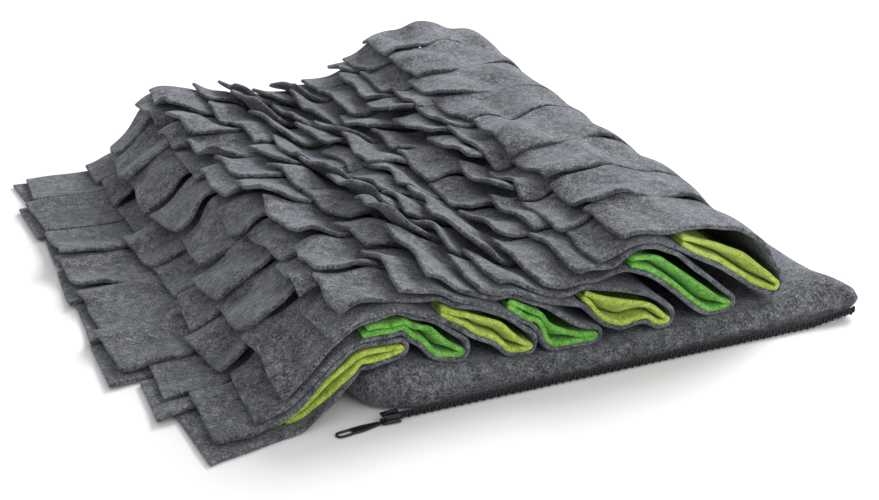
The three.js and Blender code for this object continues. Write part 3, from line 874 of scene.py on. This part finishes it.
def makeLiner(row, ys, lower, upper):
    cells = cellsOf(row)
    # behind the mat's edge the two halves close up
    steep = rowShape["closeSlope"]
    slope = np.clip(np.gradient(lower["h"], heapCells["x"], axis=0), -steep, steep)
    apart = upper["h"] - lower["h"]
    closed = np.minimum(apart, cloth["linerThick"] * np.hypot(1, slope) + rowShape["closeGap"])
    share = ease((ys - rowShape["start"]) / rowShape["closeDepth"])[None, :]
    upper["h"] = lower["h"] + lerp(apart, closed, share)
    sizes = rowShape["linerRoot"], rowShape["linerRootSteps"], rowShape["linerTipSteps"]
    columns = []
    for c in range(len(ys)):
        low, high = [halfLine(heapX[cells], half, c, *sizes) for half in (lower, upper)]
        fold = foldRound(low[0], high[0], rowShape["linerReach"], rowShape["linerFoldSteps"])
        columns.append(np.vstack([low[::-1], fold, high]))
    points = uneven(np.stack(columns, axis=1), row + cloth["linerRows"], cloth["linerUneven"])
    colour = rows[row]["liner"]
    return clothPiece(f"row_{row + 1}_{colour}", points, [], fleeces[colour], cloth["linerThick"])


def makeRow(row):  # four layers, laid from below
    cuts = cutPlaces(row)
    edge = rowShape["edge"]
    ys = np.linspace(rowShape["start"], rowShape["start"] + rowShape["width"], rowShape["linerColumns"])
    ys = np.concatenate([[ys[0], ys[0] + edge], ys[1:-1], [ys[-1] - edge, ys[-1]]])
    lower = layTabs(row, 0, cuts)
    linerLow = layLiner(row, 0, ys)
    linerHigh = layLiner(row, 1, ys)
    upper = layTabs(row, 1, cuts)
    return makeGrey(row, lower, upper), makeLiner(row, ys, linerLow, linerHigh)


for row in range(len(rows)):
    grey, liner = makeRow(row)
    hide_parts(f"row_{row + 1}_outer")
    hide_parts(f"row_{row + 1}_inner")
    print("row", row + 1, "made, heap is", round(float(heap.max()), 1), "mm high")


# Zip: woven tape with a coil of teeth along the lower front edge, the slider and its pull

zipFeel = {
    "fromX": 21.5,
    "toX": 338,
    "frontY": -1.3,
    "turnRadius": 10.3,
    "turnEnd": 34,  # degrees round the right corner
    "tapeLow": 0.7,
    "tapeHigh": 5.0,
    "tapeThick": 0.9,
    "tapeInset": 0.6,
    "tapeBelly": 0.5,
    "tapeCells": (260, 6),
    "weave": 0.25,
    "weaveTurn": 1.9,
    "wander": 0.35,  # how uneven the tape lies
    "wanderReach": 24,
    "teethZ": 2.6,
    "endLift": 3.6,  # the right end hangs on the pad's raised corner
    "liftFrom": 306,
    "liftOver": 34,
    "toothPitch": 2.4,
    "tooth": (1.3, 1.5, 2.6),
    "toothOffset": 0.55,  # by turns up and down
    "toothOut": 0.75,
    "toothLean": 0.28,
    "toothSoft": 0.4,
}
slider = {
    "fromX": 9.4,
    "toX": 20.6,
    "centreY": -2.3,
    "width": 7.6,
    "plate": 1.5,
    "lowZ": 0.75,
    "highZ": 5.0,
    "post": (3.2, 2.6, 4.0),  # between the plates, at the nose
    "postPlace": (2.4, 3.6),
    "rail": (2.4, 1.0, 1.3),  # how much shorter than the plates, width, height
    "railShift": 0.8,
    "railInset": 0.5,
    "railHigh": -0.3,
    "railLow": 0.4,
    "noseLength": 4,
    "noseNarrow": 0.22,
    "soft": 0.6,
    "bail": (1.1, 0.55),
    "bailInset": 1.4,
    "bailSink": 0.5,
    "bailRise": 1.5,
    "bailSteps": 13,
}
pull = {
    "joinX": 9.0,
    "centreY": -2.3,
    "z": 0.95,
    "length": 29,
    "width": 6.4,
    "bar": 0.8,
    "slot": 11,
    "sideSteps": 8,
    "endSteps": 12,
    "crossbar": (0.33, 0.67),  # points of the bar at the slot's start
    "turn": 0.12,
    "plateFrom": 1.2,
    "plateHalf": 1.7,  # half its width at the slider; further on it is the pull's, less the inset
    "plateInset": 0.2,
    "plateLap": 0.6,
    "plateUp": 0.1,
    "plateWiden": 1.6,
    "plateCells": (18, 8),
    "plateThick": 1.4,
    "plateSoft": 0.35,
    "groove": 0.14,
    "neck": [(-1.6, 1.4), (-0.6, 1.2), (0.6, 1.05), (1.8, 1.0)],
    "neckBar": (1.5, 0.6),
}


def tube(name, path, radii, closed=False, around=10):  # a bar: a grid rolled round a path
    path = [Vector(point) for point in path]
    count = len(path)
    bm = bmesh.new()
    bmesh.ops.create_grid(bm, x_segments=around, y_segments=count if closed else count - 1, size=1)
    for i, vert in enumerate(bm.verts):
        step, turn = divmod(i, around + 1)
        here = path[step % count]
        before = path[(step - 1) % count] if closed or step > 0 else here
        after = path[(step + 1) % count] if closed or step < count - 1 else here
        tangent = (after - before).normalized()
        side = tangent.cross(Vector((0, 0, 1)))
        side = side.normalized() if side.length > 0.1 else Vector((0, 1, 0))
        up = side.cross(tangent)
        angle = 2 * math.pi * turn / around
        spot = here + side * radii[0] * math.cos(angle) + up * radii[1] * math.sin(angle)
        vert.co = toWorld(np.array(spot))
    bmesh.ops.remove_doubles(bm, verts=bm.verts[:], dist=1e-6)
    bmesh.ops.holes_fill(bm, edges=bm.edges[:])
    bmesh.ops.recalc_face_normals(bm, faces=bm.faces[:])
    return newPiece(name, bm, enamelBlack)


def zipLength():
    return zipFeel["toX"] - zipFeel["fromX"] + math.radians(zipFeel["turnEnd"]) * zipFeel["turnRadius"]


def zipPath(s):  # place and direction along the zip, s in mm from the slider
    straight = zipFeel["toX"] - zipFeel["fromX"]
    if s <= straight:
        return zipFeel["fromX"] + s, zipFeel["frontY"], 0.0
    turn = (s - straight) / zipFeel["turnRadius"]
    x = zipFeel["toX"] + zipFeel["turnRadius"] * math.sin(turn)
    return x, zipFeel["frontY"] + zipFeel["turnRadius"] * (1 - math.cos(turn)), turn


def zipLift(x):
    return zipFeel["endLift"] * float(ease((x - zipFeel["liftFrom"]) / zipFeel["liftOver"]))


def makeTape():
    steps, rise = zipFeel["tapeCells"]
    bm = bmesh.new()
    bmesh.ops.create_grid(bm, x_segments=steps, y_segments=rise, size=1)
    for i, vert in enumerate(bm.verts):
        level, step = divmod(i, steps + 1)
        x, y, turn = zipPath(zipLength() * step / steps)
        z = lerp(zipFeel["tapeLow"], zipFeel["tapeHigh"], level / rise) + zipLift(x)
        z += zipFeel["wander"] * noise.noise(Vector((x / zipFeel["wanderReach"], level, 3)))
        out = zipFeel["weave"] * math.sin(step * zipFeel["weaveTurn"]) * (-1) ** level
        out -= zipFeel["tapeBelly"] * math.sin(math.pi * level / rise)
        y += zipFeel["tapeInset"]
        vert.co = toWorld(np.array((x - out * math.sin(turn), y + out * math.cos(turn), z)))
    tape = newPiece("zip_tape", bm, tapeBlack)
    addWall(tape, zipFeel["tapeThick"])
    return tape


def addBlock(bm, centre, size, turn=Matrix.Identity(4)):  # a small block, in mm
    place = Matrix.Translation(Vector(toWorld(np.array(centre))))
    scale = Matrix.Diagonal((*[side / 1000 for side in size], 1))
    bmesh.ops.create_cube(bm, size=1, matrix=place @ turn @ scale)


def makeTeeth():
    bm = bmesh.new()
    for number in range(int(zipLength() / zipFeel["toothPitch"])):
        x, y, turn = zipPath((number + 0.5) * zipFeel["toothPitch"])
        offset = zipLift(x) + zipFeel["toothOffset"] * (1 if number % 2 else -1)
        centre = (x, y - zipFeel["toothOut"] * math.cos(turn), zipFeel["teethZ"] + offset)
        lean = Matrix.Rotation(turn, 4, "Z") @ Matrix.Rotation(zipFeel["toothLean"], 4, "Y")
        addBlock(bm, centre, zipFeel["tooth"], lean)
    teeth = newPiece("zip_teeth", bm, enamelBlack)
    addSoften(teeth, zipFeel["toothSoft"], 2)
    return teeth


def makeSlider():
    fromX, toX, centreY = slider["fromX"], slider["toX"], slider["centreY"]
    length, middle = toX - fromX, (fromX + toX) / 2
    bm = bmesh.new()
    for z in (slider["lowZ"], slider["highZ"]):
        centre = (middle, centreY, z + slider["plate"] / 2)
        addBlock(bm, centre, (length, slider["width"], slider["plate"]))
    postX, postZ = slider["postPlace"]
    addBlock(bm, (fromX + postX, centreY, postZ), slider["post"])
    shorter, wide, tall = slider["rail"]
    for side in (-1, 1):
        y = centreY + side * (slider["width"] / 2 - slider["railInset"])
        for z in (slider["highZ"] + slider["railHigh"], slider["lowZ"] + slider["plate"] + slider["railLow"]):
            addBlock(bm, (middle + slider["railShift"], y, z), (length - shorter, wide, tall))
    # the nose narrows to the left
    centre = (centreY - mat["padDepth"] / 2) / 1000
    for vert in bm.verts:
        x = vert.co.x * 1000 + mat["padWidth"] / 2
        past = np.clip((x - fromX) / slider["noseLength"], 0, 1)
        vert.co.y = centre + (vert.co.y - centre) * (1 - slider["noseNarrow"] * (1 - past))
    body = newPiece("zip_slider_body", bm, enamelBlack)
    addSoften(body, slider["soft"], 3)
    top = slider["highZ"] + slider["plate"] - slider["bailSink"]
    inset = slider["bailInset"]
    arch = []
    for t in np.linspace(0, 1, slider["bailSteps"]):
        z = top + slider["bailRise"] * math.sin(math.pi * t) ** 0.6
        arch.append((lerp(fromX + inset, toX - inset, t), centreY, z))
    return body, tube("zip_bail", arch, slider["bail"])


def makePull():
    cosine, sine = math.cos(pull["turn"]), math.sin(pull["turn"])

    def place(x, y, z):  # along the pull, from the slider to its free end
        return (pull["joinX"] - x * cosine - y * sine, pull["centreY"] - x * sine + y * cosine, z)

    radius, z = pull["width"] / 2 - pull["bar"], pull["z"]
    start, end = pull["length"] - pull["slot"], pull["length"] - pull["width"] / 2
    sides = np.linspace(0, 1, pull["sideSteps"])
    ring = [place(lerp(start, end, t), radius, z) for t in sides]
    for angle in np.linspace(0, math.pi, pull["endSteps"])[1:-1]:
        ring.append(place(end + radius * math.sin(angle), radius * math.cos(angle), z))
    ring += [place(lerp(end, start, t), -radius, z) for t in sides]
    ring += [place(start, lerp(-radius, radius, t), z) for t in pull["crossbar"]]
    loop = tube("zip_pull_ring", ring, (pull["bar"], pull["bar"]), closed=True)
    bm = bmesh.new()
    lengthCells, widthCells = pull["plateCells"]
    bmesh.ops.create_grid(bm, x_segments=lengthCells, y_segments=widthCells, size=1)
    for vert in bm.verts:
        along, across = (vert.co.x + 1) / 2, vert.co.y
        widest = pull["width"] / 2 - pull["plateInset"]
        half = lerp(pull["plateHalf"], widest, ease(along * pull["plateWiden"]))
        groove = pull["groove"] * math.cos(across * math.pi) * math.sin(math.pi * along)
        x = lerp(pull["plateFrom"], start + pull["plateLap"], along)
        vert.co = toWorld(np.array(place(x, across * half, z + pull["plateUp"] + groove)))
    plate = newPiece("zip_pull_plate", bm, enamelBlack)
    addWall(plate, pull["plateThick"])
    addSoften(plate, pull["plateSoft"], 2)
    neck = tube("zip_pull_neck", [place(x, 0, height) for x, height in pull["neck"]], pull["neckBar"])
    return loop, plate, neck


tape, teeth = makeTape(), makeTeeth()
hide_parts("zip_chain")
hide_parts("zip_chain")
for piece in makeSlider():
    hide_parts("zip_slider")
for piece in makePull():
    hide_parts("zip_pull")
print("zip made")


# Studio

# The camera's place is in mm, as for the mat; the lights' places are in metres from the pad's middle
studio = {
    "cameraFrom": (-277.9, -739.7, 464.2),
    "azimuth": -23.72,
    "elevation": 24.12,
    "focalPixels": 1580.5,
    "imageWidth": 879,
    "sensor": 36,
    "key": {"place": (1.25, 0.75, 1.2), "size": 1.2, "power": 46, "colour": (1, 0.99, 0.98)},
    "fill": {"place": (0.4, -1.6, 1.1), "size": 1.6, "power": 10, "colour": (0.98, 0.98, 1)},
    "sky": 0.65,
    "floorTone": 0.9,
    "floorRoughness": 0.9,
    "floorSize": 6,
}


def makeCamera():
    data = bpy.data.cameras.new("camera")
    camera = bpy.data.objects.new("camera", data)
    bpy.context.scene.collection.objects.link(camera)
    azimuth, elevation = math.radians(studio["azimuth"]), math.radians(studio["elevation"])
    level = math.cos(elevation)
    back = Vector((math.sin(azimuth) * level, -math.cos(azimuth) * level, math.sin(elevation)))
    right = Vector((math.cos(azimuth), math.sin(azimuth), 0))
    up = back.cross(right)
    turn = Matrix((right, up, back)).transposed().to_4x4()
    x, y, z = studio["cameraFrom"]
    place = Vector((x - mat["padWidth"] / 2, y - mat["padDepth"] / 2, z)) / 1000
    camera.matrix_world = Matrix.Translation(place) @ turn
    data.sensor_width = studio["sensor"]
    data.lens = studio["focalPixels"] * studio["sensor"] / studio["imageWidth"]
    bpy.context.scene.camera = camera


def makeLight(name):  # a round soft light, aimed at the mat
    facts = studio[name]
    data = bpy.data.lights.new(name, "AREA")
    data.shape = "DISK"
    data.size = facts["size"]
    data.energy = facts["power"]
    data.color = facts["colour"]
    light = bpy.data.objects.new(name, data)
    bpy.context.scene.collection.objects.link(light)
    light.location = facts["place"]
    light.rotation_euler = (-Vector(facts["place"])).to_track_quat("-Z", "Y").to_euler()


def makeFloor():
    bm = bmesh.new()
    bmesh.ops.create_grid(bm, x_segments=1, y_segments=1, size=studio["floorSize"])
    mesh = bpy.data.meshes.new("floor")
    bm.to_mesh(mesh)
    bm.free()
    floor = bpy.data.objects.new("floor", mesh)
    bpy.context.scene.collection.objects.link(floor)
    material, _, shader = newMaterial("paleFloor", studio["floorRoughness"])
    shader.inputs["Base Color"].default_value = (*[studio["floorTone"]] * 3, 1)
    mesh.materials.append(material)


makeCamera()
makeLight("key")
makeLight("fill")
makeFloor()
world = bpy.data.worlds.new("world")
bpy.context.scene.world = world
world.use_nodes = True
world.node_tree.nodes["Background"].inputs["Color"].default_value = (1, 1, 1, 1)
world.node_tree.nodes["Background"].inputs["Strength"].default_value = studio["sky"]
bpy.context.scene.view_settings.view_transform = "Standard"
print("studio ready")
